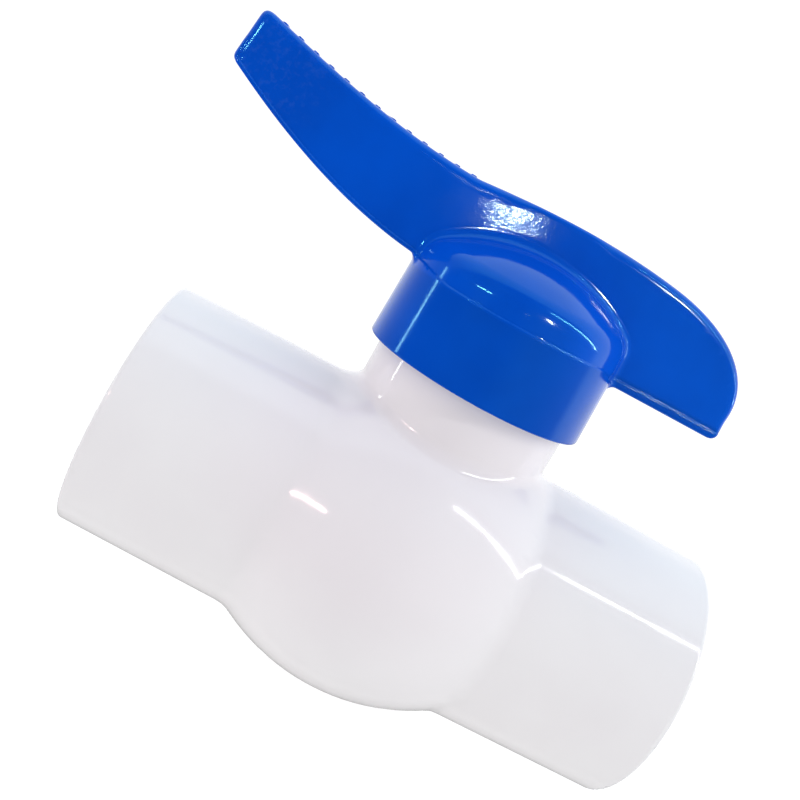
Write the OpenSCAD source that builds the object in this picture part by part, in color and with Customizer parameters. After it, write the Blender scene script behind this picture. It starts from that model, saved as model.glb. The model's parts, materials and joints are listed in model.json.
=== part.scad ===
// Compact one-piece ball valve for solvent-cemented plastic pressure pipe.
// X runs along the pipe, Z up the stem, and the origin is the centre of the ball.
// The valve is drawn open, with the lever over the pipe.

/* [Pipe sockets] */
// Length over both socket mouths
body_len = 138; // [132:1:150]
// Radius inside a socket, for 50 mm pipe
socket_r = 25.1; // [25:0.05:25.3]
// Depth of a socket, from its mouth to the pipe stop
socket_depth = 31; // [28:0.5:33]
// Outside radius of a socket at its mouth
socket_or = 30; // [29:0.1:31]
// Growth of the socket's outside radius from mouth to barrel, for mould release
socket_draft = 0.55; // [0.1:0.05:0.7]
// Lead-in chamfer at a socket's mouth
lead_in = 1; // [0.5:0.1:1.5]

/* [Barrel and neck] */
// Radius of the barrel over the middle of the ball
barrel_r = 37.8; // [37:0.1:39]
// Radius of the arc that the barrel's outline follows
barrel_arc = 52.4; // [51:0.1:54]
// Outside radius of the stem neck
neck_r = 23.7; // [23:0.1:23.9]
// Height of the neck's top face
neck_top = 54; // [53.5:0.1:54.3]

/* [Ball and seats] */
// Radius of the ball
ball_r = 28; // [27.5:0.1:28.3]
// Radius of the port through the ball
port_r = 19; // [17:0.5:19.5]
// Gap between the ball and its seats
ball_gap = 0.1; // [0.05:0.01:0.15]
// Radius of the capsule that holds the ball
capsule_r = 32.5; // [32:0.1:33]

/* [Stem] */
// Radius of the stem where it turns in its gland
stem_r = 11; // [10.5:0.1:11.5]
// Running clearance between stem and gland
stem_gap = 0.07; // [0.03:0.01:0.09]
// Width of the square that drives the lever
square_w = 14.6; // [14:0.1:14.8]
// Thickness of the tongue that turns the ball
tang_w = 7.8; // [7:0.1:8]

/* [Lever] */
// Height of the skirt's lower edge
skirt_bottom = 42.7; // [42:0.1:44]
// Height of the crease between skirt and dome
skirt_top = 60.9; // [60:0.1:62]
// Outside radius at the skirt's lower edge
skirt_r = 26.7; // [26.3:0.1:27]
// Outside radius at the crease
crease_r = 26.1; // [25.8:0.1:26.2]
// Height of the dome's top
dome_top = 75.5; // [74.5:0.1:76.5]
// Wall thickness of the lever
wall = 2.2; // [2:0.1:2.2]
// Half the thickness of the blade at the stem
blade_half_mid = 5.2; // [5:0.1:6]
// Half the thickness of the blade at its ends
blade_half_end = 3.6; // [3.4:0.1:4.2]
// Number of grip ribs along the long wing
grip_count = 13; // [9:1:13]
// Height of a grip rib
grip_h = 0.55; // [0.3:0.05:0.8]

/* [Stops] */
// Angle that each stop on the neck covers
neck_stop_angle = 50; // [46:1:52]
// Angle that each stop in the lever covers
lever_stop_angle = 38; // [34:1:38]

/* [Hidden] */

$fn = 96;
eps = 0.01;
far = 200;
rotor_gap = 0.6;

// Places along the pipe, on one side of the middle
end_x = body_len / 2;
stop_x = end_x - socket_depth;
crease_x = 26.8;
carrier_end_x = 30;
rim_round = 0.8;
stop_bore_r = 21.5;

// Carriers and seats
ball_room = 1.2;
collar_room_r = 16.2;
carrier_or = 27;
seat_r = 25;
seat_gap = 0.05;
seat_front_x = 14.5;
seat_back_x = 23.5;
cushion_mid_r = 22.4;
cushion_wire_r = 1.4;
cushion_depth = 2.6;
cushion_room = 0.1;

// Heights up the stem
slot_floor = 22.2;
tang_bottom = slot_floor + 0.4;
tang_len = 22;
slot_w = tang_w + 0.5;
collar_bottom = 29.8;
collar_top = 34.8;
collar_r = 15.5;
gland_bottom = 36.2;
gland_r = 17;
gland_flange_r = 19.6;
gland_flange_h = 2.5;
square_top = 66;
square_corner_r = 9.6;
screw_r = 2;
screw_bottom = 50;
screw_pilot_bottom = 48;

// O-rings on the stem and the gland
oring_wire_r = 1.2;
oring_depth = 2;
stem_oring_z = [41.3, 46.7];
gland_oring_z = 41.5;
gland_oring_wire_r = 1.3;
gland_oring_depth = 2.3;

// Stops
stop_in_r = 20.2;
stop_inset = 0.4;
stop_h = 3.4;
neck_stop_start = 21;
stop_margin = 1;

// Lever
shoulder_r = 10;
skirt_in_r = neck_r + rotor_gap;
hub_r = 12.9;
hub_bottom = neck_top + rotor_gap;
web_top = 69.5;
access_r = 3.7;
lever_stop_top = 64.5;

// Screw, washer and cap
head_r = 3.5;
head_h = 2.6;
washer_h = 1.2;
web_hole_r = 2.2;
cap_r = access_r - 0.05;
cap_top = 83.9;
cap_h = 4.5;

// Outline of the blade in the XZ plane. The curves have evenly spaced x, so t gives x directly.
grip_curve = [[-77.97, 92.88], [-59.11, 87.9], [-40.26, 83.6], [-21.4, 83.2]];
crown_curve = [[-21.4, 83.2], [-4.33, 84.9], [12.73, 85.5], [29.8, 83]];
nose_curve = [[29.8, 83], [43, 81], [54, 74.6], [54, 64.2]];
belly_curve = [[-27, 62.4], [-45, 64.2], [-63, 71], [-80.2, 80.1]];
grip_aim = [-60, 88.2];
tip_top = [-79.5, 93.2];
tip_low = [-81.2, 80.6];
nose_low = [53.8, 57.7];
nose_in = [20, 57.7];
belly_root = [-20, 60];
belly_aim = [-78, 78.5];
blade_n = 8;
tip_round = 2;
hollow_cells = [
    [-77.9, -62.9], [-61.1, -45.9], [-44.1, -28.6], [-22.6, -14.6],
    [14.6, 22.6], [28.6, 39.5], [41.3, 51]
];
nose_round = 2;
belly_round = 1;

// ---- Helpers ----

function unit(v) = v / norm(v);

// Points of a cubic curve, without its first point when skip is 1
function curve(c, n = 12, skip = 0) = [
    for (i = [skip:n])
        let (t = i / n, s = 1 - t)
            s * s * s * c[0] + 3 * s * s * t * c[1] + 3 * s * t * t * c[2] + t * t * t * c[3]
];

// Arc that rounds the corner b between the points a and c
function corner(a, b, c, r, n = 6) =
    let (
        u = unit(a - b),
        w = unit(c - b),
        half = acos(u * w) / 2,
        o = b + unit(u + w) * r / sin(half),
        s = b + u * r / tan(half),
        start = atan2(s.y - o.y, s.x - o.x),
        turn = sign(cross(b - a, c - b)) * (180 - 2 * half)
    )
    [for (i = [0:n]) o + r * [cos(start + turn * i / n), sin(start + turn * i / n)]];

// Arc about o from angle a0 to angle a1
function arc(o, r, a0, a1, n = 12) = [
    for (i = [0:n]) let (a = a0 + (a1 - a0) * i / n) o + r * [cos(a), sin(a)]
];

// Turned solid about the pipe axis, from a profile of [radius, x]
module turned_x() {
    rotate([0, 90, 0]) rotate_extrude() children();
}

// Cylinder along the pipe axis from x0 to x1
module rod_x(r, x0, x1) {
    translate([x0, 0, 0]) rotate([0, 90, 0]) cylinder(h = x1 - x0, r = r);
}

// Upright cylinder from z0 to z1
module post(r, z0, z1) {
    translate([0, 0, z0]) cylinder(h = z1 - z0, r = r);
}

// Ring about the stem with a rectangular section
module ring(r_in, r_out, z0, z1) {
    difference() {
        post(r_out, z0, z1);
        post(r_in, z0 - 1, z1 + 1);
    }
}

// Part of a ring between two angles
module ring_sector(r_in, r_out, z0, z1, a0, a1) {
    intersection() {
        ring(r_in, r_out, z0, z1);
        translate([0, 0, z0 - 1]) linear_extrude(z1 - z0 + 2)
            polygon(concat([[0, 0]], arc([0, 0], 2 * r_out, a0, a1, 4)));
    }
}

// O-ring section: a circle flattened where the ring presses on its groove's floor and wall
module oring_section(wire_r, pressed) {
    intersection() {
        circle(r = wire_r, $fn = 48);
        square([pressed, 2 * wire_r], center = true);
    }
}

// O-ring about the stem, pressed between radius r_in and r_in + depth
module oring(r_in, depth, wire_r, z) {
    translate([0, 0, z]) rotate_extrude() translate([r_in + depth / 2, 0]) oring_section(wire_r, depth);
}

// Outer outline of the blade, from the tip's top corner clockwise
function blade_outline() = concat(
    corner(tip_low, tip_top, grip_aim, tip_round),
    curve(grip_curve, 12, 1),
    curve(crown_curve, 10, 1),
    curve(nose_curve, 10, 1),
    corner(nose_curve[3], nose_low, nose_in, nose_round),
    [nose_in, belly_root],
    curve(belly_curve, 12),
    corner(belly_aim, tip_low, tip_top, belly_round, 3)
);

// One side of the blade's plan, from its end at x0 to the stem: thinner at the end
function blade_side(x0) = curve([
    [x0, blade_half_end], [x0 * 0.62, blade_half_end + 0.35],
    [x0 * 0.3, blade_half_mid], [0, blade_half_mid]
], blade_n);

module blade() {
    half_left = blade_side(tip_low.x - 2);
    half_right = blade_side(nose_low.x + 2);
    intersection() {
        rotate([90, 0, 0]) linear_extrude(4 * blade_half_mid, center = true) polygon(blade_outline());
        translate([0, 0, 50]) linear_extrude(50) polygon(concat(
            half_left,
            [for (i = [blade_n - 1:-1:0]) half_right[i]],
            [for (p = half_right) [p.x, -p.y]],
            [for (i = [blade_n - 1:-1:0]) [half_left[i].x, -half_left[i].y]]
        ));
    }
}

// Ribs across the top edge of the long wing
module grip_ribs() {
    rib_w = 1.3;
    first_x = -74;
    pitch = 4.25;
    x0 = grip_curve[0].x;
    span = grip_curve[3].x - x0;
    for (i = [0:grip_count - 1]) {
        x = first_x + i * pitch;
        t = (x - x0) / span;
        s = 1 - t;
        z = s * s * s * grip_curve[0].y + 3 * s * s * t * grip_curve[1].y
            + 3 * s * t * t * grip_curve[2].y + t * t * t * grip_curve[3].y;
        translate([x, 0, z + grip_h - rib_w / 2]) rotate([90, 0, 0])
            cylinder(h = 5, r = rib_w / 2, center = true, $fn = 24);
    }
}

// Hollows under the wings, open downwards and parted by cross ribs
module wing_hollows() {
    half = blade_half_end - wall / 2 - 0.9;
    deep = 1.35 * wall;
    nose_n = 10;
    nose_points = curve(nose_curve, nose_n);
    outline = concat(
        [[-78.6, 50], [-78.6, 88.5]],
        [for (p = curve(grip_curve, 12)) p + [0.9, -deep]],
        [for (p = curve(crown_curve, 10, 1)) p - [0, deep]],
        [for (i = [1:nose_n]) nose_points[i] - deep * [sin(90 * i / nose_n), cos(90 * i / nose_n)]],
        [[nose_points[nose_n].x - deep, 50]]
    );
    for (cell = hollow_cells) intersection() {
        rotate([90, 0, 0]) linear_extrude(2 * half, center = true) polygon(outline);
        translate([cell[0], -far / 2, 0]) cube([cell[1] - cell[0], far, far]);
    }
}

// Outline of the cap in [radius, z]: skirt, shoulder and crown, each inset by t
function cap_outline(t, bottom) =
    let (
        r1 = shoulder_r - t,
        o1 = [crease_r - shoulder_r, skirt_top],
        rise = dome_top - skirt_top,
        r2 = (o1.x * o1.x + rise * rise - shoulder_r * shoulder_r) / (2 * (rise - shoulder_r)),
        o2 = [0, dome_top - r2],
        tilt = atan2(o1.y - o2.y, o1.x)
    )
    concat(
        [[0, bottom], [t > 0 ? skirt_in_r : skirt_r, bottom]],
        t > 0 ? [[skirt_in_r, skirt_top - 1]] : [],
        arc(o1, r1, 0, tilt, 8),
        [for (p = arc(o2, r2 - t, tilt, 90, 10)) if (p.x > eps) p],
        [[0, dome_top - t]]
    );

// ---- Sub-parts ----

// Outline of the sockets and barrel in [radius, x]
module shell_outline() {
    mouth = [socket_or, end_x];
    root = [socket_or + socket_draft, crease_x - 1];
    intersection() {
        translate([barrel_r - barrel_arc, 0]) circle(r = barrel_arc, $fn = 180);
        translate([0, -crease_x]) square([barrel_r + 1, 2 * crease_x]);
    }
    for (side = [0, 1]) mirror([0, side])
        polygon(concat([[0, root.y], root], corner(root, mouth, [0, end_x], rim_round), [[0, end_x]]));
}

// Outline of the way through the shell in [radius, x], with room for the capsule
module bore_outline() {
    intersection() {
        circle(r = capsule_r, $fn = 180);
        translate([0, -carrier_end_x]) square([far, 2 * carrier_end_x]);
    }
    translate([0, -carrier_end_x]) square([carrier_or, 2 * carrier_end_x]);
    for (side = [0, 1]) mirror([0, side]) polygon([
        [0, carrier_end_x - 1], [port_r, carrier_end_x - 1], [port_r, carrier_end_x],
        [stop_bore_r, stop_x], [socket_r, stop_x], [socket_r, end_x - lead_in],
        [socket_r + 2 * lead_in, end_x + lead_in], [0, end_x + lead_in]
    ]);
}

// Fixed shell: two pipe sockets, the barrel round the capsule and the neck with its two stops
module body() {
    color("white") difference() {
        union() {
            turned_x() shell_outline();
            post(neck_r, 0, neck_top);
            for (turn = [0, 180]) rotate(turn + neck_stop_start)
                ring_sector(
                    stop_in_r, neck_r - stop_inset, neck_top - 1, neck_top + stop_h, 0, neck_stop_angle
                );
        }
        turned_x() bore_outline();
        post(collar_room_r, 0, gland_bottom + eps);
        post(gland_r, gland_bottom, neck_top + 1);
        post(gland_flange_r, neck_top - gland_flange_h, neck_top + 1);
    }
}

// Section of half the capsule in [radius, x], where x is positive
module carrier_section() {
    groove_w = 2 * (cushion_wire_r + cushion_room);
    difference() {
        intersection() {
            union() {
                circle(r = capsule_r, $fn = 180);
                square([carrier_or, carrier_end_x]);
            }
            square([far, carrier_end_x]);
        }
        circle(r = ball_r + ball_room, $fn = 180);
        square([seat_r, seat_back_x]);
        square([port_r, far]);
        translate([cushion_mid_r - groove_w / 2, seat_back_x - 1]) square([groove_w, cushion_depth + 1]);
    }
}

// Half of the moulded-in capsule, on the side where x is positive
module carrier() {
    difference() {
        turned_x() carrier_section();
        post(collar_room_r, 0, far);
    }
}

// Seat ring that the ball slides on, on the side where x is positive
module seat() {
    difference() {
        rod_x(seat_r - seat_gap, seat_front_x, seat_back_x);
        rod_x(port_r, 0, far);
        sphere(r = ball_r + ball_gap);
    }
}

// Rubber cushion that keeps the seat on the ball, on the side where x is positive
module seat_cushion() {
    translate([seat_back_x + cushion_depth / 2, 0, 0]) turned_x() translate([cushion_mid_r, 0])
        rotate(90) oring_section(cushion_wire_r, cushion_depth);
}

module carrier_left() { color("gainsboro") mirror([1, 0, 0]) carrier(); }
module carrier_right() { color("gainsboro") carrier(); }
module seat_left() { color("ivory") mirror([1, 0, 0]) seat(); }
module seat_right() { color("ivory") seat(); }
module seat_cushion_left() { color("black") mirror([1, 0, 0]) seat_cushion(); }
module seat_cushion_right() { color("black") seat_cushion(); }

// Ball with a full-bore port and a slot across its top for the stem's tongue
module ball() {
    color("whitesmoke") difference() {
        sphere(r = ball_r);
        rod_x(port_r, -far, far);
        translate([-slot_w / 2, -far / 2, slot_floor]) cube([slot_w, far, far]);
    }
}

// Stem: tongue, thrust collar, sealing barrel with two grooves, square and screw hole
module stem() {
    color("lightgray") difference() {
        union() {
            intersection() {
                translate([-tang_w / 2, -tang_len / 2, tang_bottom])
                    cube([tang_w, tang_len, collar_bottom - tang_bottom + 1]);
                post(tang_len / 2, 0, far);
            }
            post(collar_r, collar_bottom, collar_top);
            post(stem_r, collar_top - 1, neck_top + 0.2);
            intersection() {
                translate([-square_w / 2, -square_w / 2, neck_top])
                    cube([square_w, square_w, square_top - neck_top]);
                post(square_corner_r, 0, far);
            }
        }
        for (z = stem_oring_z)
            ring(stem_r - oring_depth, stem_r + 1, z - oring_wire_r - 0.1, z + oring_wire_r + 0.1);
        post(screw_r, screw_pilot_bottom, far);
    }
}

// Slippery washer between the stem's collar and the gland
module thrust_washer() {
    color("ivory") ring(stem_r + 0.2, collar_r - 0.2, collar_top, gland_bottom - 0.1);
}

// Gland that guides the stem and holds its collar down
module stem_gland() {
    color("gainsboro") difference() {
        union() {
            post(gland_r, gland_bottom, neck_top);
            post(gland_flange_r, neck_top - gland_flange_h, neck_top);
        }
        post(stem_r + stem_gap, 0, far);
        ring(
            gland_r - gland_oring_depth, gland_r + 1,
            gland_oring_z - gland_oring_wire_r - 0.1, gland_oring_z + gland_oring_wire_r + 0.1
        );
    }
}

module gland_oring() {
    color("black") oring(gland_r - gland_oring_depth, gland_oring_depth, gland_oring_wire_r, gland_oring_z);
}

module stem_oring_lower() {
    color("black") oring(stem_r - oring_depth, oring_depth, oring_wire_r, stem_oring_z[0]);
}

module stem_oring_upper() {
    color("black") oring(stem_r - oring_depth, oring_depth, oring_wire_r, stem_oring_z[1]);
}

// Lever: skirt and dome over the neck, a two-winged blade, and inside a square hub and two stops
module handle() {
    color("royalblue") difference() {
        union() {
            difference() {
                union() {
                    rotate_extrude() polygon(cap_outline(0, skirt_bottom));
                    blade();
                    grip_ribs();
                }
                rotate_extrude() polygon(cap_outline(wall + 0.1, skirt_bottom - 1));
                wing_hollows();
            }
            post(hub_r, hub_bottom, dome_top - wall);
            for (turn = [0, 180]) rotate(turn + neck_stop_start - stop_margin)
                ring_sector(
                    stop_in_r + 0.3, skirt_in_r + 1, hub_bottom, lever_stop_top, -lever_stop_angle, 0
                );
        }
        translate([-square_w / 2, -square_w / 2, 0]) cube([square_w, square_w, square_top]);
        post(web_hole_r, 0, far);
        post(access_r, web_top, far);
    }
}

module handle_screw() {
    color("silver") difference() {
        union() {
            post(screw_r, screw_bottom, web_top + washer_h + 0.5);
            post(head_r, web_top + washer_h, web_top + washer_h + head_h);
        }
        for (turn = [0, 90]) rotate(turn)
            translate([-2.2, -0.45, web_top + washer_h + head_h - 1.4]) cube([4.4, 0.9, 2]);
    }
}

// Split spring washer under the screw's head
module lock_washer() {
    color("silver") difference() {
        ring(screw_r + 0.1, head_r, web_top, web_top + washer_h);
        translate([0, -0.4, web_top - 1]) cube([head_r + 1, 0.8, washer_h + 2]);
    }
}

// Plug that closes the screw's hole in the top of the blade
module screw_cap() {
    color("royalblue") difference() {
        post(cap_r, cap_top - cap_h, cap_top);
        post(cap_r - 1.1, cap_top - cap_h - 1, cap_top - 1.4);
    }
}

body();
carrier_left();
carrier_right();
seat_left();
seat_right();
seat_cushion_left();
seat_cushion_right();
ball();
stem();
thrust_washer();
stem_gland();
gland_oring();
stem_oring_lower();
stem_oring_upper();
handle();
handle_screw();
lock_washer();
screw_cap();
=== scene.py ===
import json
import math

import bpy
import numpy as np
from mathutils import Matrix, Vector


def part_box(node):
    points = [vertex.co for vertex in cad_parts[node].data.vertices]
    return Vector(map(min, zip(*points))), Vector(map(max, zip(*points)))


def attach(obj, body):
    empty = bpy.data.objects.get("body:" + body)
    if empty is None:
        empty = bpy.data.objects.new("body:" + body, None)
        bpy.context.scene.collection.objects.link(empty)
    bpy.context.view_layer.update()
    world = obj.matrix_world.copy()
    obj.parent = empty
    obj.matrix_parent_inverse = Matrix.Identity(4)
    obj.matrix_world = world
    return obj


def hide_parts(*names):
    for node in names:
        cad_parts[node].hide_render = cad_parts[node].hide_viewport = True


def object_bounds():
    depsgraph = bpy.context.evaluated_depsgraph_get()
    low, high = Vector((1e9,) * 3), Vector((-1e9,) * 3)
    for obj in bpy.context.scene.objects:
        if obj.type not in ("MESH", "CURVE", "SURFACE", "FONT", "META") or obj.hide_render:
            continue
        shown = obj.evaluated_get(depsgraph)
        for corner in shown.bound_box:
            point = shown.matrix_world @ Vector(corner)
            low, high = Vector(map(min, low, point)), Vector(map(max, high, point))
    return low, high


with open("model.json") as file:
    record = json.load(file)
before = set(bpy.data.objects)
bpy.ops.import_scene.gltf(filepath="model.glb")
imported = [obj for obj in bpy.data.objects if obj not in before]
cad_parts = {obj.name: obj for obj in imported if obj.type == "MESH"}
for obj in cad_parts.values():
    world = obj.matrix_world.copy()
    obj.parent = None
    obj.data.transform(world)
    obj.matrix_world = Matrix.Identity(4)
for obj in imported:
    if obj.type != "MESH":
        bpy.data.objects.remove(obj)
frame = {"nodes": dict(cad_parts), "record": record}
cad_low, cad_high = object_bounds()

import openvdb as vdb
from mathutils import Matrix, Vector

# Lengths are in millimetres, except where a Blender call takes metres.
MM = 0.001


def box_mm(node):
    """Lowest and highest corner of a CAD node, in millimetres."""
    low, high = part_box(node)
    return low / MM, high / MM


# ---- Sizes, from the frame where it has them ----

body_low, body_high = box_mm("body")
lever_low, lever_high = box_mm("handle")
gland_low, gland_high = box_mm("stem_gland")
cap_low, cap_high = box_mm("screw_cap")

# Body: sockets, barrel and neck
END_X = body_high.x
BARREL_R = -body_low.z
BARREL_ARC = 52.4
CREASE_X = 26.8
SOCKET_OR = 30.0
SOCKET_DRAFT = 0.55
SOCKET_R = 25.1
STOP_X = END_X - 31.0
STOP_BORE_R = 21.5
LEAD_IN = 1.0
NECK_R = 23.7
NECK_TOP = gland_high.z
MOUTH_ROUND = 0.9
SOCKET_FILLET = 0.9
NECK_ROUND = 0.6
NECK_FILLET = 1.6
BORE_ROUND = 0.35

# Room inside the body for the capsule, the stem's collar and the gland
CAPSULE_R = 32.5
CARRIER_R = 27.0
CARRIER_END = 30.0
PORT_R = 19.0
COLLAR_ROOM_R = 16.2
GLAND_BOTTOM = gland_low.z
GLAND_R = 17.0
GLAND_FLANGE_R = gland_high.x
GLAND_FLANGE_H = 2.5
OVERLAP = 1.0
COLLAR_OVERLAP = 0.1

# Stops on the neck and in the lever
STOP_IN_R = 20.2
STOP_INSET = 0.4
STOP_ROUND = 0.3
NECK_STOP_START = 21.0
NECK_STOP_ANGLE = 50.0
LEVER_STOP_ANGLE = 38.0
LEVER_STOP_TOP = 64.5
STOP_MARGIN = 1.0
STOP_GAP = 0.3

# Skirt and dome of the lever
SKIRT_BOTTOM = lever_low.z
SKIRT_R = lever_high.y
SKIRT_TOP = 60.9
SKIRT_IN_R = 24.3
RIM_ROUND = 0.45
CREASE_R = 26.1
CREASE_HALF = 0.25
PARTING_RISE = 1.4
PARTING_RISE_X = (17, 26)
PARTING_DROP = 2.6
PARTING_DROP_X = (19, 27)
LEDGE = 0.3
DOME_TOP = 75.5
DOME_LEAN = math.radians(3)
SHOULDER_Z = 63.8
SHOULDER_R = 6.1
WALL = 2.3
ROOM_STEP = 1.0

# Hub, screw hole and cap of the lever
HUB_R = 12.9
HUB_BOTTOM = NECK_TOP + 0.6
SQUARE = 7.3
SQUARE_TOP = 66.0
WEB_TOP = 69.5
WEB_HOLE_R = 2.2
ACCESS_R = 3.7
CAP_GAP = 0.04
CAP_FOOT_ROUND = 0.3
CAP_TOP_ROUND = 0.15

# Thickness of the blade, its edges, and the lip along the lower edge of each wing
BLADE_HALF_MID = 5.2
BLADE_HALF_END = 3.6
BLADE_DRAFT = 0.012
BLADE_MARGIN = 2.0
DRAFT_DEPTH = 8.0
EDGE_TOP = 2.2
EDGE_TIP = 2.6
EDGE_CAP = 1.2
EDGE_LOW = 0.7
EDGE_TIP_REACH = (0.3, 2)
EDGE_CAP_X = (6, 12)
EDGE_CHANGE = (-4, 2)
EDGE_SPARE = 0.05
LIP = 0.32
LIP_WIDE = 1.9
LIP_NARROW = 0.9
LIP_FADE = 0.2
LIP_START = (19, 21)

# Fillet between dome and blade, wider on the long wing's side near the top
FILLET = 1.9
FILLET_MORE = 1.2
FILLET_X = -12.0
FILLET_SPAN = 12.0
FILLET_RISE = (66, 72)

# Hollows under the wings
HOLLOW_HALF = 1.6
HOLLOW_DEEP = 3.0
HOLLOW_INSET = 0.9
HOLLOW_START_X = -78.6
HOLLOW_START_Z = 88.5
HOLLOW_OPEN_Z = 50.0
HOLLOW_LOW = HUB_BOTTOM - 3
HOLLOW_ROUND = 0.4
INNER_ROUND = 0.3

# Grip ribs
RIB_COUNT = 13
RIB_HALF = 0.7
RIB_H = 0.3
RIB_REACH = 1.5
RIB_ROUND = 0.2
RIB_FILLET = 0.1
RIB_FIRST_X = -74.0
RIB_PITCH = 4.25

# Strength of the world's light from each side, tint of its ceiling, and glow of the floor
WORLD_FRONT = 0.13
WORLD_RIGHT = 0.4
WORLD_BACK = 1.12
WORLD_LEFT = 0.3
WORLD_LOW = 0.3
CEILING = (0.78, 0.92, 1)
FLOOR_GLOW = 0.8
FLOOR_GLOW_NEAR = 0.45

# Outline of the blade in X and Z, as on the CAD lever
GRIP_CURVE = [(-77.97, 92.88), (-59.11, 87.9), (-40.26, 83.6), (-21.4, 83.2)]
CROWN_CURVE = [(-21.4, 83.2), (-4.33, 84.9), (12.73, 85.5), (29.8, 83)]
NOSE_CURVE = [(29.8, 83), (43, 81), (54, 74.6), (54, 64.2)]
BELLY_CURVE = [(-27, 62.4), (-45, 64.2), (-63, 71), (-80.2, 80.1)]
TIP_TOP, TIP_LOW = (-79.4, 93.05), (-81.2, 80.6)
NOSE_LOW, NOSE_IN = (53.8, 57.7), (20, 57.7)
BELLY_IN = (-20, 60)
TIP_TOP_NEXT, TIP_LOW_NEXT = (-60, 88.2), (-78, 78.5)
TIP_TOP_ROUND = 1.2
TIP_LOW_ROUND = 1.0
NOSE_ROUND = 2.0

# Line halfway between the blade's upper and lower edges, as places in X and their heights
MIDDLE_X = [-82, -60, -40, -27, 27, 54]
MIDDLE_Z = [86, 80, 74, 72, 62, 61]

# Ends in X of each hollow. The cross ribs stand between them.
HOLLOW_CELLS = [
    (-77.9, -62.9), (-61.1, -45.9), (-44.1, -28.6), (-22.6, -14.6),
    (14.6, 22.6), (28.6, 39.5), (41.3, 51),
]

# Making a mesh from a distance field. The band, the margin and the reach are counted in voxels.
BAND = 3
MARGIN = 2.5
SLOPE_STEP = 0.02
NEWTON_ROUNDS = 3
NEWTON_REACH = 0.4
FLATTEST = 0.25
FAR = 1e9
TINY = 1e-9


# ---- Outlines ----

def curve(c, n=60):
    """Points of a cubic curve."""
    t = np.linspace(0, 1, n + 1)[:, None]
    s = 1 - t
    a, b, d, e = (np.array(p, float) for p in c)
    return s**3 * a + 3 * s * s * t * b + 3 * s * t * t * d + t**3 * e


def corner(a, b, c, r, n=8):
    """Arc that rounds the corner b between the points a and c."""
    a, b, c = (np.array(p, float) for p in (a, b, c))
    u = (a - b) / np.linalg.norm(a - b)
    w = (c - b) / np.linalg.norm(c - b)
    half = math.acos(u @ w) / 2
    o = b + (u + w) / np.linalg.norm(u + w) * r / math.sin(half)
    s = b + u * r / math.tan(half)
    start = math.atan2(s[1] - o[1], s[0] - o[0])
    side = (b - a)[0] * (c - b)[1] - (b - a)[1] * (c - b)[0]
    turn = math.copysign(math.pi - 2 * half, side)
    angle = start + turn * np.linspace(0, 1, n + 1)
    return o + r * np.stack([np.cos(angle), np.sin(angle)], 1)


def blade_outline():
    """Closed outline of the blade, from the top corner of its tip, clockwise."""
    return np.vstack([
        corner(TIP_LOW, TIP_TOP, TIP_TOP_NEXT, TIP_TOP_ROUND),
        curve(GRIP_CURVE)[1:],
        curve(CROWN_CURVE)[1:],
        curve(NOSE_CURVE)[1:],
        corner(NOSE_CURVE[3], NOSE_LOW, NOSE_IN, NOSE_ROUND),
        [NOSE_IN, BELLY_IN],
        curve(BELLY_CURVE),
        corner(TIP_LOW_NEXT, TIP_LOW, TIP_TOP, TIP_LOW_ROUND),
    ])


def hollow_outline():
    """Closed outline of the hollows under the wings, open downwards."""
    nose = curve(NOSE_CURVE)
    turn = np.linspace(0, math.pi / 2, len(nose))[:, None]
    inward = HOLLOW_DEEP * np.hstack([np.sin(turn), np.cos(turn)])
    return np.vstack([
        [(HOLLOW_START_X, HOLLOW_OPEN_Z), (HOLLOW_START_X, HOLLOW_START_Z)],
        curve(GRIP_CURVE) + (HOLLOW_INSET, -HOLLOW_DEEP),
        curve(CROWN_CURVE)[1:] - (0, HOLLOW_DEEP),
        (nose - inward)[1:],
        [(nose[-1][0] - HOLLOW_DEEP, HOLLOW_OPEN_Z)],
    ])


def outline_distance(outline, x, z):
    """Signed distance in the XZ plane to a closed outline, negative inside."""
    px, pz = np.broadcast_arrays(x, z)
    best = np.full(px.shape, FAR)
    inside = np.zeros(px.shape, bool)
    for a, b in zip(outline, np.roll(outline, -1, axis=0)):
        e = b - a
        if e @ e < 1e-12:
            continue
        t = np.clip(((px - a[0]) * e[0] + (pz - a[1]) * e[1]) / (e @ e), 0, 1)
        best = np.minimum(best, (px - a[0] - t * e[0])**2 + (pz - a[1] - t * e[1])**2)
        spans = (a[1] > pz) != (b[1] > pz)
        if e[1] != 0:
            inside ^= spans & (px < a[0] + e[0] * (pz - a[1]) / e[1])
    return np.where(inside, -1, 1) * np.sqrt(best)


def softened(values):
    """A row of values, each averaged with its neighbours."""
    weights = np.array([1, 4, 6, 4, 1]) / 16
    return np.convolve(np.pad(values, 2, mode="edge"), weights, "valid")


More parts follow.
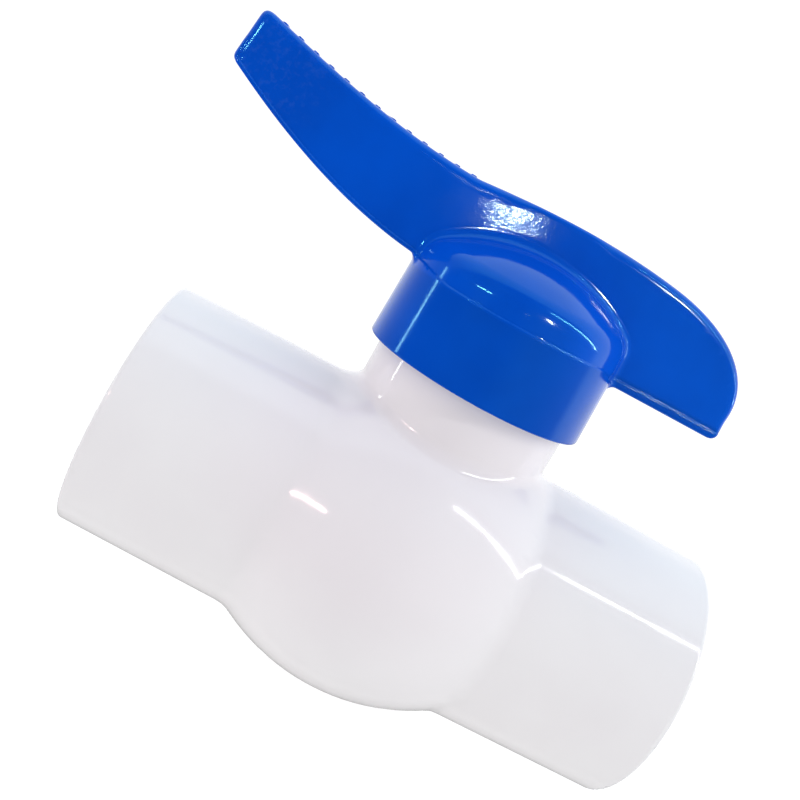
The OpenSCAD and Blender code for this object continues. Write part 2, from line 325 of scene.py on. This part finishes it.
class Sampled:
    """Distance to an outline, worked out on a grid, softened a little and read back smoothly."""

    def __init__(self, outline, pitch=0.5, margin=8):
        """The grid covers the lever in X and Z, with a margin round it."""
        self.low = np.array([lever_low.x - margin, lever_low.z - margin])
        self.pitch = pitch
        nx = int((lever_high.x - lever_low.x + 2 * margin) / pitch) + 1
        nz = int((lever_high.z - lever_low.z + 2 * margin) / pitch) + 1
        x = self.low[0] + pitch * np.arange(nx)[:, None]
        z = self.low[1] + pitch * np.arange(nz)[None, :]
        d = outline_distance(outline, x, z)
        for axis in (0, 1):
            d = np.apply_along_axis(softened, axis, d)
        self.d = d

    def __call__(self, x, z):
        """Distance at these places."""
        x, z = np.broadcast_arrays(x, z)
        u = np.clip((x - self.low[0]) / self.pitch, 1, self.d.shape[0] - 3)
        v = np.clip((z - self.low[1]) / self.pitch, 1, self.d.shape[1] - 3)
        i, j = u.astype(int), v.astype(int)
        total = 0
        for a, wa in enumerate(spline_weights(u - i)):
            for b, wb in enumerate(spline_weights(v - j)):
                total = total + wa * wb * self.d[i + a - 1, j + b - 1]
        return total


def spline_weights(t):
    """Weights of the four neighbours in a cubic B-spline."""
    s = 1 - t
    return s**3 / 6, (4 - 6 * t**2 + 3 * t**3) / 6, (4 - 6 * s**2 + 3 * s**3) / 6, t**3 / 6


# ---- Distance fields: negative inside the plastic ----

def joined(a, b, r):
    """Union with a fillet of radius r in the corner."""
    u, v = np.maximum(r - a, 0), np.maximum(r - b, 0)
    return np.maximum(r, np.minimum(a, b)) - np.sqrt(u * u + v * v)


def common(a, b, r):
    """Intersection with its edge rounded to radius r."""
    u, v = np.maximum(r + a, 0), np.maximum(r + b, 0)
    return np.minimum(-r, np.maximum(a, b)) + np.sqrt(u * u + v * v)


def smooth(low, high, v):
    """0 below low, 1 above high, and a smooth step between them."""
    t = np.clip((v - low) / (high - low), 0, 1)
    return t * t * (3 - 2 * t)


def sector(x, y, z, r_in, r_out, z0, z1, start, angle):
    """Two opposite ring sectors about the stem, from start over angle, in degrees."""
    r = np.sqrt(x * x + y * y)
    middle = math.radians(start + angle / 2)
    a = np.arctan2(y, x) - middle
    a = np.abs((a + math.pi / 2) % math.pi - math.pi / 2)
    side = (a - math.radians(angle / 2)) * r
    ring = np.abs(r - (r_in + r_out) / 2) - (r_out - r_in) / 2
    return common(common(ring, side, STOP_ROUND), np.maximum(z - z1, z0 - z), STOP_ROUND)


def body_field(x, y, z):
    """The fixed shell: sockets, barrel and neck outside, bores and capsule room inside."""
    along = np.abs(x)
    rho = np.sqrt(y * y + z * z)
    r = np.sqrt(x * x + y * y)
    barrel = np.sqrt(along**2 + (rho + BARREL_ARC - BARREL_R)**2) - BARREL_ARC
    socket = rho - (SOCKET_OR + SOCKET_DRAFT * (END_X - along) / (END_X - CREASE_X))
    socket = common(socket, along - END_X, MOUTH_ROUND)
    neck = np.maximum(common(r - NECK_R, z - NECK_TOP, NECK_ROUND), -z)
    outside = joined(joined(barrel, socket, SOCKET_FILLET), neck, NECK_FILLET)
    stops = sector(x, y, z, STOP_IN_R, NECK_R - STOP_INSET, NECK_TOP - OVERLAP, body_high.z,
                   NECK_STOP_START, NECK_STOP_ANGLE)
    outside = np.minimum(outside, stops)

    capsule = np.minimum(np.sqrt(along**2 + rho**2) - CAPSULE_R, rho - CARRIER_R)
    capsule = np.maximum(capsule, along - CARRIER_END)
    taper = (STOP_BORE_R - PORT_R) / (STOP_X - CARRIER_END)
    bore = np.maximum(rho - (PORT_R + taper * (along - CARRIER_END)), along - STOP_X - OVERLAP)
    bore = np.maximum(bore, CARRIER_END - OVERLAP - along)
    socket_bore = np.maximum(rho - SOCKET_R, STOP_X - along)
    mouth = (rho - SOCKET_R - (along - END_X + LEAD_IN)) * math.sqrt(0.5)
    mouth = np.maximum(mouth, STOP_X - along)
    collar = np.maximum(np.maximum(r - COLLAR_ROOM_R, z - GLAND_BOTTOM - COLLAR_OVERLAP), -z)
    gland = np.maximum(r - GLAND_R, GLAND_BOTTOM - z)
    flange = np.maximum(r - GLAND_FLANGE_R, NECK_TOP - GLAND_FLANGE_H - z)
    inside = np.minimum(np.minimum(capsule, bore), np.minimum(socket_bore, mouth))
    inside = np.minimum(inside, np.minimum(collar, np.minimum(gland, flange)))
    return common(outside, -inside, BORE_ROUND)


def blade_half(x, z, flat):
    """Half the blade's thickness: thickest at the stem, with a lip along its lower edges."""
    reach = np.where(x < 0, x / (lever_low.x - BLADE_MARGIN), x / (lever_high.x + BLADE_MARGIN))
    bulge = 0.5 + 0.5 * np.cos(math.pi * np.clip(reach, 0, 1))
    half = BLADE_HALF_END + (BLADE_HALF_MID - BLADE_HALF_END) * bulge
    half = half + BLADE_DRAFT * (lever_high.z - DRAFT_DEPTH - z)
    right_lip = 1 - smooth(LIP_WIDE - LIP_FADE, LIP_WIDE + LIP_FADE, z - NOSE_LOW[1])
    right_lip = right_lip * smooth(*LIP_START, x)
    left_lip = 1 - smooth(LIP_NARROW - LIP_FADE, LIP_NARROW + LIP_FADE, -flat)
    left_lip = left_lip * smooth(*LIP_START, -x) * (1 - smooth(-1, 1, z - middle_z(x)))
    return half + LIP * (right_lip + left_lip)


def middle_z(x):
    """Height between the blade's upper and lower edges."""
    return np.interp(x, MIDDLE_X, MIDDLE_Z)


def dome_distance(r, z):
    """Distance to the dome's outline: a leaning side, a shoulder arc and a flatter crown arc."""
    side_r = CREASE_R - LEDGE - math.tan(DOME_LEAN) * (SHOULDER_Z - SKIRT_TOP)
    arc_r = side_r - SHOULDER_R * math.cos(DOME_LEAN)
    arc_z = SHOULDER_Z - SHOULDER_R * math.sin(DOME_LEAN)
    rise = DOME_TOP - arc_z
    crown_r = (arc_r**2 + rise**2 - SHOULDER_R**2) / (2 * (rise - SHOULDER_R))
    crown_z = DOME_TOP - crown_r
    crown = np.sqrt(r * r + (z - crown_z)**2) - crown_r
    shoulder = np.sqrt((r - arc_r)**2 + (z - arc_z)**2) - SHOULDER_R
    side = (r - side_r) * math.cos(DOME_LEAN) + (z - SHOULDER_Z) * math.sin(DOME_LEAN)
    on_crown = r * (arc_z - crown_z) < (z - crown_z) * arc_r
    on_side = (z - arc_z) * math.cos(DOME_LEAN) < (r - arc_r) * math.sin(DOME_LEAN)
    return np.where(on_crown, crown, np.where(on_side, side, shoulder))


def rib_places():
    """Place and slope of each grip rib on the long wing's upper edge."""
    points = curve(GRIP_CURVE, 400)
    slopes = np.gradient(points[:, 1]) / np.gradient(points[:, 0])
    places = []
    for i in range(RIB_COUNT):
        x = RIB_FIRST_X + i * RIB_PITCH
        z = np.interp(x, points[:, 0], points[:, 1])
        places.append((x, z, math.atan(np.interp(x, points[:, 0], slopes))))
    return places


BLADE = Sampled(blade_outline())
HOLLOW = Sampled(hollow_outline())
RIBS = rib_places()


def blade_field(x, y, z):
    """The two wings: a wide rounding along the upper edge and at the tip, and a small one below."""
    flat = BLADE(x, z)
    half = blade_half(x, z, flat)
    top_edge = EDGE_TOP + (EDGE_CAP - EDGE_TOP) * (1 - smooth(*EDGE_CAP_X, np.abs(x)))
    edge = EDGE_LOW + (top_edge - EDGE_LOW) * smooth(*EDGE_CHANGE, z - middle_z(x))
    from_tip = x - np.interp(z, [TIP_LOW[1], TIP_TOP[1]], [TIP_LOW[0], TIP_TOP[0]])
    edge = edge + (EDGE_TIP - edge) * (1 - smooth(*EDGE_TIP_REACH, from_tip + flat))
    edge = np.minimum(edge, half - EDGE_SPARE)
    return common(flat, np.abs(y) - half, edge)


def cap_field(x, y, z):
    """Plug over the handle screw, cut flush with the blade."""
    plug = common(np.sqrt(x * x + y * y) - ACCESS_R + CAP_GAP, cap_low.z - z, CAP_FOOT_ROUND)
    return common(plug, blade_field(x, y, z), CAP_TOP_ROUND)


def rib_field(x, y, z):
    """The grip ribs: low bars across the long wing's upper edge."""
    ribs = np.full(np.broadcast(x, z).shape, FAR)
    for rib_x, rib_z, tilt in RIBS:
        u = (x - rib_x) * math.cos(tilt) + (z - rib_z) * math.sin(tilt)
        v = (z - rib_z) * math.cos(tilt) - (x - rib_x) * math.sin(tilt)
        ribs = np.minimum(ribs, common(np.abs(u) - RIB_HALF, np.abs(v) - RIB_H, RIB_ROUND))
    return common(ribs, np.abs(y) - RIB_REACH, RIB_ROUND)


def hollow_field(x, y, z):
    """The hollows under the wings, with cross ribs between them."""
    cells = np.full(x.shape, FAR)
    for a, b in HOLLOW_CELLS:
        cells = np.minimum(cells, np.abs(x - (a + b) / 2) - (b - a) / 2)
    hollow = common(np.maximum(HOLLOW(x, z), cells), np.abs(y) - HOLLOW_HALF, HOLLOW_ROUND)
    return np.maximum(hollow, HOLLOW_LOW - z)


def lever_field(x, y, z):
    """The lever: skirt, dome, two-winged blade and grip ribs, hollow inside, with hub and stops."""
    r = np.sqrt(x * x + y * y)
    skirt_r = SKIRT_R - (SKIRT_R - CREASE_R) * (z - SKIRT_BOTTOM) / (SKIRT_TOP - SKIRT_BOTTOM)
    skirt = r - skirt_r
    dome = dome_distance(r, z)
    parting = SKIRT_TOP + PARTING_RISE * smooth(*PARTING_RISE_X, -x)
    parting = parting - PARTING_DROP * smooth(*PARTING_DROP_X, x)
    cap = skirt + (dome - skirt) * smooth(-CREASE_HALF, CREASE_HALF, z - parting)
    cap = common(cap, SKIRT_BOTTOM - z, RIM_ROUND)
    more = FILLET_MORE * np.exp(-((x - FILLET_X) / FILLET_SPAN)**2) * smooth(*FILLET_RISE, z)
    outside = joined(cap, blade_field(x, y, z), FILLET + more)
    outside = joined(outside, rib_field(x, y, z), RIB_FILLET)

    room = np.where(z < SKIRT_TOP - ROOM_STEP, r - SKIRT_IN_R, dome + WALL)
    hub = np.maximum(r - HUB_R, HUB_BOTTOM - z)
    stops = sector(x, y, z, STOP_IN_R + STOP_GAP, SKIRT_IN_R + OVERLAP, HUB_BOTTOM, LEVER_STOP_TOP,
                   NECK_STOP_START - STOP_MARGIN - LEVER_STOP_ANGLE, LEVER_STOP_ANGLE)
    room = common(room, -np.minimum(hub, stops), INNER_ROUND)
    square = np.maximum(np.maximum(np.abs(x), np.abs(y)) - SQUARE, z - SQUARE_TOP)
    screw_way = np.minimum(r - WEB_HOLE_R, np.maximum(r - ACCESS_R, WEB_TOP - z))
    inside = np.minimum(np.minimum(room, hollow_field(x, y, z)), np.minimum(square, screw_way))
    return common(outside, -inside, INNER_ROUND)


# ---- Meshes ----

def signed_volume(mesh):
    """Volume inside a mesh, negative when its faces point inwards."""
    mesh.calc_loop_triangles()
    co = np.zeros(len(mesh.vertices) * 3)
    mesh.vertices.foreach_get("co", co)
    tri = np.zeros(len(mesh.loop_triangles) * 3, int)
    mesh.loop_triangles.foreach_get("vertices", tri)
    p = co.reshape(-1, 3)[tri.reshape(-1, 3)]
    return float(np.einsum("ij,ij->i", p[:, 0], np.cross(p[:, 1], p[:, 2])).sum() / 6)


def mesh_from_field(name, field, low, high, voxel, adaptivity):
    """Closed mesh of a distance field, its points on the surface and its normals from the field."""
    low = np.array(low) - MARGIN * voxel
    size = np.ceil((np.array(high) - low) / voxel + BAND).astype(int)
    x, y, z = [(low[k] + voxel * np.arange(size[k])).astype(np.float32) for k in range(3)]
    values = field(x[:, None, None], y[None, :, None], z[None, None, :])
    grid = vdb.FloatGrid(BAND * voxel)
    grid.copyFromArray(np.clip(values, -BAND * voxel, BAND * voxel).astype(np.float32))
    grid.transform = vdb.createLinearTransform(voxelSize=voxel)
    points, triangles, quads = grid.convertToPolygons(isovalue=0.0, adaptivity=adaptivity)
    points = points.astype(float) + low

    def at(p):
        """Distance at each point."""
        return field(p[:, 0], p[:, 1], p[:, 2])

    def slope(p):
        """Direction and rate in which the distance grows at each point."""
        h = SLOPE_STEP
        return np.stack([(at(p + h * e) - at(p - h * e)) / (2 * h) for e in np.eye(3)], 1)

    # Newton steps bring the points onto the surface
    for _ in range(NEWTON_ROUNDS):
        g = slope(points)
        step = at(points) / np.maximum((g * g).sum(1), FLATTEST)
        step = np.clip(step, -NEWTON_REACH * voxel, NEWTON_REACH * voxel)
        points -= step[:, None] * g
    normals = slope(points)
    normals /= np.maximum(np.linalg.norm(normals, axis=1), TINY)[:, None]
    faces = [tuple(f) for f in triangles.tolist()] + [tuple(f) for f in quads.tolist()]
    mesh = bpy.data.meshes.new(name)
    mesh.from_pydata((points * MM).tolist(), [], faces)
    mesh.validate()
    mesh.shade_smooth()
    if signed_volume(mesh) < 0:
        mesh.flip_normals()
    mesh.normals_split_custom_set_from_vertices(normals.tolist())
    obj = bpy.data.objects.new(name, mesh)
    bpy.context.scene.collection.objects.link(obj)
    return obj


shell = mesh_from_field("valve_shell", body_field, body_low, body_high, voxel=0.6, adaptivity=0.01)
lever = mesh_from_field("lever_moulding", lever_field, lever_low, lever_high, voxel=0.33,
                        adaptivity=0.004)
cap_room = Vector((cap_high.x, cap_high.y, lever_high.z))
cap = mesh_from_field("cap_plug", cap_field, cap_low, cap_room, voxel=0.25, adaptivity=0.004)
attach(shell, "valve_body")
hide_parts("body")
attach(lever, "lever")
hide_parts("handle")
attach(cap, "lever")
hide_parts("screw_cap")


# ---- Materials ----

class Tree:
    """Short hand for building nodes. A value may be a number, a colour or another node's socket."""

    def __init__(self, tree, coordinate):
        """Nodes read their place from this output of a Texture Coordinate node."""
        self.tree = tree
        self.place = tree.nodes.new("ShaderNodeTexCoord").outputs[coordinate]

    def link(self, value, socket):
        """Link a socket to another, or set its value."""
        if isinstance(value, bpy.types.NodeSocket):
            self.tree.links.new(value, socket)
        elif isinstance(value, tuple) and len(value) == 3 and socket.type == "RGBA":
            socket.default_value = (*value, 1)
        else:
            socket.default_value = value

    def axes(self):
        """The place as three separate numbers, X, Y and Z."""
        n = self.tree.nodes.new("ShaderNodeSeparateXYZ")
        self.link(self.place, n.inputs["Vector"])
        return n.outputs["X"], n.outputs["Y"], n.outputs["Z"]

    def ramp(self, value, low, high, to_low, to_high, kind="SMOOTHSTEP"):
        """Goes from to_low to to_high as the value goes from low to high."""
        n = self.tree.nodes.new("ShaderNodeMapRange")
        n.interpolation_type = kind
        self.link(value, n.inputs["Value"])
        n.inputs["From Min"].default_value = low
        n.inputs["From Max"].default_value = high
        self.link(to_low, n.inputs["To Min"])
        self.link(to_high, n.inputs["To Max"])
        return n.outputs["Result"]

    def maths(self, kind, a, b):
        """Result of a Math node."""
        n = self.tree.nodes.new("ShaderNodeMath")
        n.operation = kind
        self.link(a, n.inputs[0])
        self.link(b, n.inputs[1])
        return n.outputs[0]

    def mix(self, amount, a, b):
        """Colour a where the amount is 0, b where it is 1."""
        n = self.tree.nodes.new("ShaderNodeMix")
        n.data_type = "RGBA"
        self.link(amount, n.inputs["Factor"])
        self.link(a, n.inputs["A"])
        self.link(b, n.inputs["B"])
        return n.outputs["Result"]


class Finish(Tree):
    """A material, with the patterns its colour, gloss and bump are made of. Sizes are in millimetres."""

    def __init__(self, name):
        """Starts from a plain Principled surface."""
        self.material = bpy.data.materials.new(name)
        self.material.use_nodes = True
        super().__init__(self.material.node_tree, "Object")
        self.surface = self.tree.nodes["Principled BSDF"].inputs

    def noise(self, size, detail):
        """Noise whose blobs are about this wide."""
        n = self.tree.nodes.new("ShaderNodeTexNoise")
        n.inputs["Scale"].default_value = 1 / (size * MM)
        n.inputs["Detail"].default_value = detail
        self.link(self.place, n.inputs["Vector"])
        return n.outputs["Fac"]

    def specks(self, cell, radius, share):
        """1 inside round specks, 0 elsewhere. This share of the cells has one."""
        n = self.tree.nodes.new("ShaderNodeTexVoronoi")
        n.inputs["Scale"].default_value = 1 / (cell * MM)
        self.link(self.place, n.inputs["Vector"])
        near = self.ramp(n.outputs["Distance"], 0.5 * radius / cell, radius / cell, 1, 0)
        cell_colour = self.tree.nodes.new("ShaderNodeSeparateColor")
        self.link(n.outputs["Color"], cell_colour.inputs["Color"])
        rare = self.maths("LESS_THAN", cell_colour.outputs["Red"], share)
        return self.maths("MULTIPLY", near, rare)

    def near(self, place, size):
        """1 around a place, fading to 0 at this distance."""
        n = self.tree.nodes.new("ShaderNodeVectorMath")
        n.operation = "DISTANCE"
        self.link(self.place, n.inputs[0])
        n.inputs[1].default_value = [c * MM for c in place]
        return self.ramp(n.outputs["Value"], 0.4 * size * MM, size * MM, 1, 0)

    def bump(self, height, depth):
        """Add a bump of this depth to the ones the surface has."""
        n = self.tree.nodes.new("ShaderNodeBump")
        n.inputs["Strength"].default_value = 1
        n.inputs["Distance"].default_value = depth * MM
        self.link(height, n.inputs["Height"])
        normal = self.surface["Normal"]
        if normal.is_linked:
            self.link(normal.links[0].from_socket, n.inputs["Normal"])
        self.link(n.outputs["Normal"], normal)

    def tint(self, amount, colour):
        """Mix this amount of a colour into the surface's colour."""
        base = self.surface["Base Color"]
        self.link(self.mix(amount, base.links[0].from_socket, colour), base)


# Sizes of the patterns in moulded plastic and rubber
TONE_SIZE = 26
GLOSS_SIZE = 9
PEEL_SIZE = 3.2
GRAIN_SIZE = 0.5
SPECK_CELL = 7
SPECK_R = 0.32

# Places whose finish differs a little, and the height over which the painted shade on the skirt fades in
NECK_FRONT = (-8, -26, 26)
TIP_SIDE = (-76, -4, 84)
OVER_DOME = (-10, -5, 80)
SKIRT_SHADE_FADE = 0.8


def moulded(name, light, dark, rough, peel=0.006, grain=0.0012, dots=None, dot_share=0.02):
    """Moulded plastic or rubber: uneven tone, gloss that varies, orange peel, fine grain, a few specks."""
    m = Finish(name)
    tone = m.ramp(m.noise(TONE_SIZE, 3), 0.3, 0.7, 0, 1)
    m.link(m.mix(tone, dark, light), m.surface["Base Color"])
    if dots is not None:
        m.tint(m.specks(SPECK_CELL, SPECK_R, dot_share), dots)
    gloss = m.ramp(m.noise(GLOSS_SIZE, 4), 0.3, 0.75, rough * 0.8, rough * 1.35)
    m.link(gloss, m.surface["Roughness"])
    m.bump(m.noise(PEEL_SIZE, 1), peel)
    m.bump(m.noise(GRAIN_SIZE, 2), grain)
    return m


def machined(name, colour, rough):
    """Steel with a faint uneven polish and fine grain."""
    m = Finish(name)
    m.link(m.mix(m.noise(2, 3), tuple(c * 0.8 for c in colour), colour), m.surface["Base Color"])
    m.surface["Metallic"].default_value = 1
    m.link(m.ramp(m.noise(1.2, 3), 0.3, 0.7, rough * 0.8, rough * 1.3), m.surface["Roughness"])
    m.bump(m.noise(0.25, 1), 0.003)
    return m


# The white plastic is a little pinker round the neck
white = moulded("white_plastic", (0.925, 0.905, 0.912), (0.905, 0.88, 0.89), 0.09,
                dots=(0.12, 0.11, 0.12), dot_share=0.012)
white.tint(white.maths("MULTIPLY", white.near(NECK_FRONT, 52), 0.55), (0.915, 0.845, 0.875))

# The blue plastic is scuffed at the tip, has painted shade on the skirt and the short wing's lower lip,
# and is rougher on the blade over the dome
blue = moulded("blue_plastic", (0.0005, 0.088, 0.66), (0.0005, 0.07, 0.55), 0.1, peel=0.009, grain=0.0016,
               dots=(0.05, 0.2, 0.75), dot_share=0.05)
scratches = blue.ramp(blue.noise(1.1, 4), 0.45, 0.8, 0, 0.035)
blue.tint(blue.maths("MULTIPLY", blue.near(TIP_SIDE, 22), scratches), (0.3, 0.5, 0.85))
# Painted shade: the blue is darkened below the parting line, on the skirt and the short wing's lower lip
painted_skirt_shade = blue.ramp(blue.axes()[2], (SKIRT_TOP - SKIRT_SHADE_FADE) * MM, SKIRT_TOP * MM, 0.22, 0)
blue.tint(painted_skirt_shade, (0.001, 0.03, 0.2))
blue.bump(blue.maths("MULTIPLY", blue.near(OVER_DOME, 14), blue.noise(0.8, 3)), 0.03)
blue.surface["Specular Tint"].default_value = (0.15, 0.92, 1, 1)
blue.surface["Specular IOR Level"].default_value = 0.5

finishes = {
    "carrier_plastic": moulded("carrier_plastic", (0.72, 0.73, 0.74), (0.66, 0.67, 0.68), 0.28),
    "seat_plastic": moulded("seat_plastic", (0.86, 0.84, 0.76), (0.80, 0.78, 0.70), 0.35),
    "seal_rubber": moulded("seal_rubber", (0.022, 0.022, 0.023), (0.014, 0.014, 0.015), 0.5, grain=0.004),
    "ball_plastic": moulded("ball_plastic", (0.80, 0.80, 0.80), (0.76, 0.76, 0.77), 0.1, peel=0.002),
    "stem_plastic": moulded("stem_plastic", (0.55, 0.56, 0.57), (0.48, 0.49, 0.50), 0.25),
    "screw_steel": machined("screw_steel", (0.62, 0.62, 0.61), 0.25),
    "body_plastic": white,
    "handle_plastic": blue,
}
shell.data.materials.append(white.material)
lever.data.materials.append(blue.material)
cap.data.materials.append(blue.material)
for row in frame["record"]["subparts"]:
    node = frame["nodes"][row["node"]]
    node.data.materials.clear()
    node.data.materials.append(finishes[row["material_slot"]].material)


# ---- Stage ----

# World: bright behind the object and dim in front of it, as in a room lit from the far side. It is
# dimmer towards the left end and below, brighter at the front right, and a little blue overhead. The
# ranges are coordinates of a unit vector towards the light.
world = bpy.data.worlds.new("studio")
bpy.context.scene.world = world
world.use_nodes = True
background = world.node_tree.nodes["Background"].inputs
sky = Tree(world.node_tree, "Generated")
sky_x, sky_y, sky_z = sky.axes()
behind = sky.maths("ADD", sky_y, sky.maths("MULTIPLY", sky_z, 0.3))
front = sky.ramp(sky_x, -0.05, 0.4, WORLD_FRONT, WORLD_RIGHT, "LINEAR")
strength = sky.ramp(behind, -0.1, 0.1, front, WORLD_BACK)
left = sky.ramp(sky_x, -1.0, -0.45, WORLD_LEFT, 1)
below = sky.ramp(sky_z, -0.35, -0.1, WORLD_LOW, 1, "LINEAR")
dimmed = sky.maths("MULTIPLY", sky.maths("MULTIPLY", strength, left), below)
sky.link(dimmed, background["Strength"])
overhead = sky.ramp(sky_z, 0.4, 0.7, 0, 1, "LINEAR")
sky.link(sky.mix(overhead, (1, 1, 1), CEILING), background["Color"])


def axes_matrix(u, v, w, place):
    """Matrix of an object at a place, with its own X, Y and Z axes along u, v and w."""
    return Matrix((
        (u.x, v.x, w.x, place.x),
        (u.y, v.y, w.y, place.y),
        (u.z, v.z, w.z, place.z),
        (0, 0, 0, 1),
    ))


def area_light(name, place, along, long, wide, radiance, colour=(1, 1, 1), aim=(0, 0, 0), spread=180,
               diffuse=True, glossy=True):
    """Lamp that stands at place and faces aim, in metres, with its long side along a direction. Radiance
    is what its face shows. Spread is the full angle of its beam in degrees, and a lamp whose spread is
    below 180 is an ellipse."""
    data = bpy.data.lights.new(name, "AREA")
    data.shape = "RECTANGLE"
    data.size = long
    data.size_y = wide
    data.energy = radiance * math.pi * long * wide
    data.color = colour
    if spread < 180:
        data.spread = math.radians(spread)
        data.shape = "ELLIPSE"
        half = data.spread / 2
        # A narrow beam is brighter for the same power, so its power is cut
        data.energy *= (math.tan(half) - half) / math.tan(half)
    u = Vector(along).normalized()
    n = (Vector(place) - Vector(aim)).normalized()
    w = n.cross(u).normalized()
    u = w.cross(n)
    obj = bpy.data.objects.new(name, data)
    obj.matrix_world = axes_matrix(u, w, n, Vector(place))
    obj.visible_camera = False
    obj.visible_diffuse = diffuse
    obj.visible_glossy = glossy
    bpy.context.scene.collection.objects.link(obj)


# Two strips and a tube for the long highlights, a fill from the left, and small reddish lamps whose
# highlights on the blue lever come out white
GLINT_COLOUR = (1, 0.22, 0.19)
area_light("tube_right", (1.9, -0.75, 1.3), (1, 0, 0), long=3.0, wide=0.016, radiance=180,
           colour=(0.97, 0.97, 1))
area_light("strip_left", (-1.05, -1.05, 0.30), (0.6, -0.6, 0.1), long=0.45, wide=0.03, radiance=110,
           colour=(1, 0.66, 0.66), diffuse=False)
area_light("fill_left", (-1.3, -0.7, 0.9), (0.4, -0.9, 0), long=1.9, wide=1.9, radiance=1.3,
           colour=(1, 0.95, 0.98), glossy=False)
area_light("glint_blade", (0.0104, -0.3043, 0.0945), (1, 0, 0), long=0.015, wide=0.007, radiance=1500,
           colour=GLINT_COLOUR, aim=(-0.0110, -0.0055, 0.0810), spread=8, diffuse=False)
area_light("glint_arc", (-0.03, -0.14, 0.1375), (1, 0, 0), long=0.035, wide=0.0175, radiance=4500,
           colour=GLINT_COLOUR, aim=(-0.015, -0.0055, 0.076), spread=5, diffuse=False)
area_light("glint_shoulder", (0.136, -0.2545, 0.181), (0.67, 0.18, -0.74), long=0.08, wide=0.05,
           radiance=1200, colour=GLINT_COLOUR, aim=(0.010, -0.0055, 0.070), spread=7, diffuse=False)
area_light("strip_side", (-1.5, 0.12, -0.05), (0, 0, 1), long=0.5, wide=0.05, radiance=14)

# Floor: an even pale plane just under the valve that glows less in the foreground
FLOOR_SIZE = 6
FLOOR_GAP = 0.0002
bpy.ops.mesh.primitive_plane_add(size=FLOOR_SIZE, location=(0, 0, cad_low.z - FLOOR_GAP))
floor = bpy.context.object
floor.name = "floor"
floor_look = Finish("floor_white")
floor_tone = floor_look.mix(floor_look.noise(60, 2), (0.25, 0.25, 0.25), (0.27, 0.27, 0.27))
floor_look.link(floor_tone, floor_look.surface["Base Color"])
floor_look.surface["Roughness"].default_value = 0.7
floor_look.surface["Emission Color"].default_value = (1, 1, 1, 1)
glow = floor_look.ramp(floor_look.axes()[1], -0.4, -0.12, FLOOR_GLOW_NEAR, FLOOR_GLOW)
floor_look.link(glow, floor_look.surface["Emission Strength"])
floor.data.materials.append(floor_look.material)
floor.visible_glossy = False

# Camera: its angles, its distance from the target in millimetres, and its focal length in pixels of
# an image this many pixels wide
AZ, EL, ROLL = map(math.radians, (-3.87, 11.05, 29.03))
DIST = 232.3
TARGET = Vector((-19.7, 0, 32.8))
FOCAL_PX = 1009.6
IMAGE_PX = 800
SENSOR = 36
back = Vector((math.sin(AZ) * math.cos(EL), -math.cos(AZ) * math.cos(EL), math.sin(EL)))
level_right = (-back).cross(Vector((0, 0, 1))).normalized()
level_up = level_right.cross(-back)
right = math.cos(ROLL) * level_right + math.sin(ROLL) * level_up
up = math.cos(ROLL) * level_up - math.sin(ROLL) * level_right
camera_data = bpy.data.cameras.new("camera")
camera = bpy.data.objects.new("camera", camera_data)
bpy.context.scene.collection.objects.link(camera)
camera.matrix_world = axes_matrix(right, up, back, (TARGET + back * DIST) * MM)
camera_data.sensor_width = SENSOR
camera_data.lens = SENSOR * FOCAL_PX / IMAGE_PX
camera_data.shift_x = 0.0279
camera_data.shift_y = -0.0254
camera_data.clip_start = 0.01
camera_data.clip_end = 20
bpy.context.scene.camera = camera
bpy.context.scene.view_settings.view_transform = "Standard"
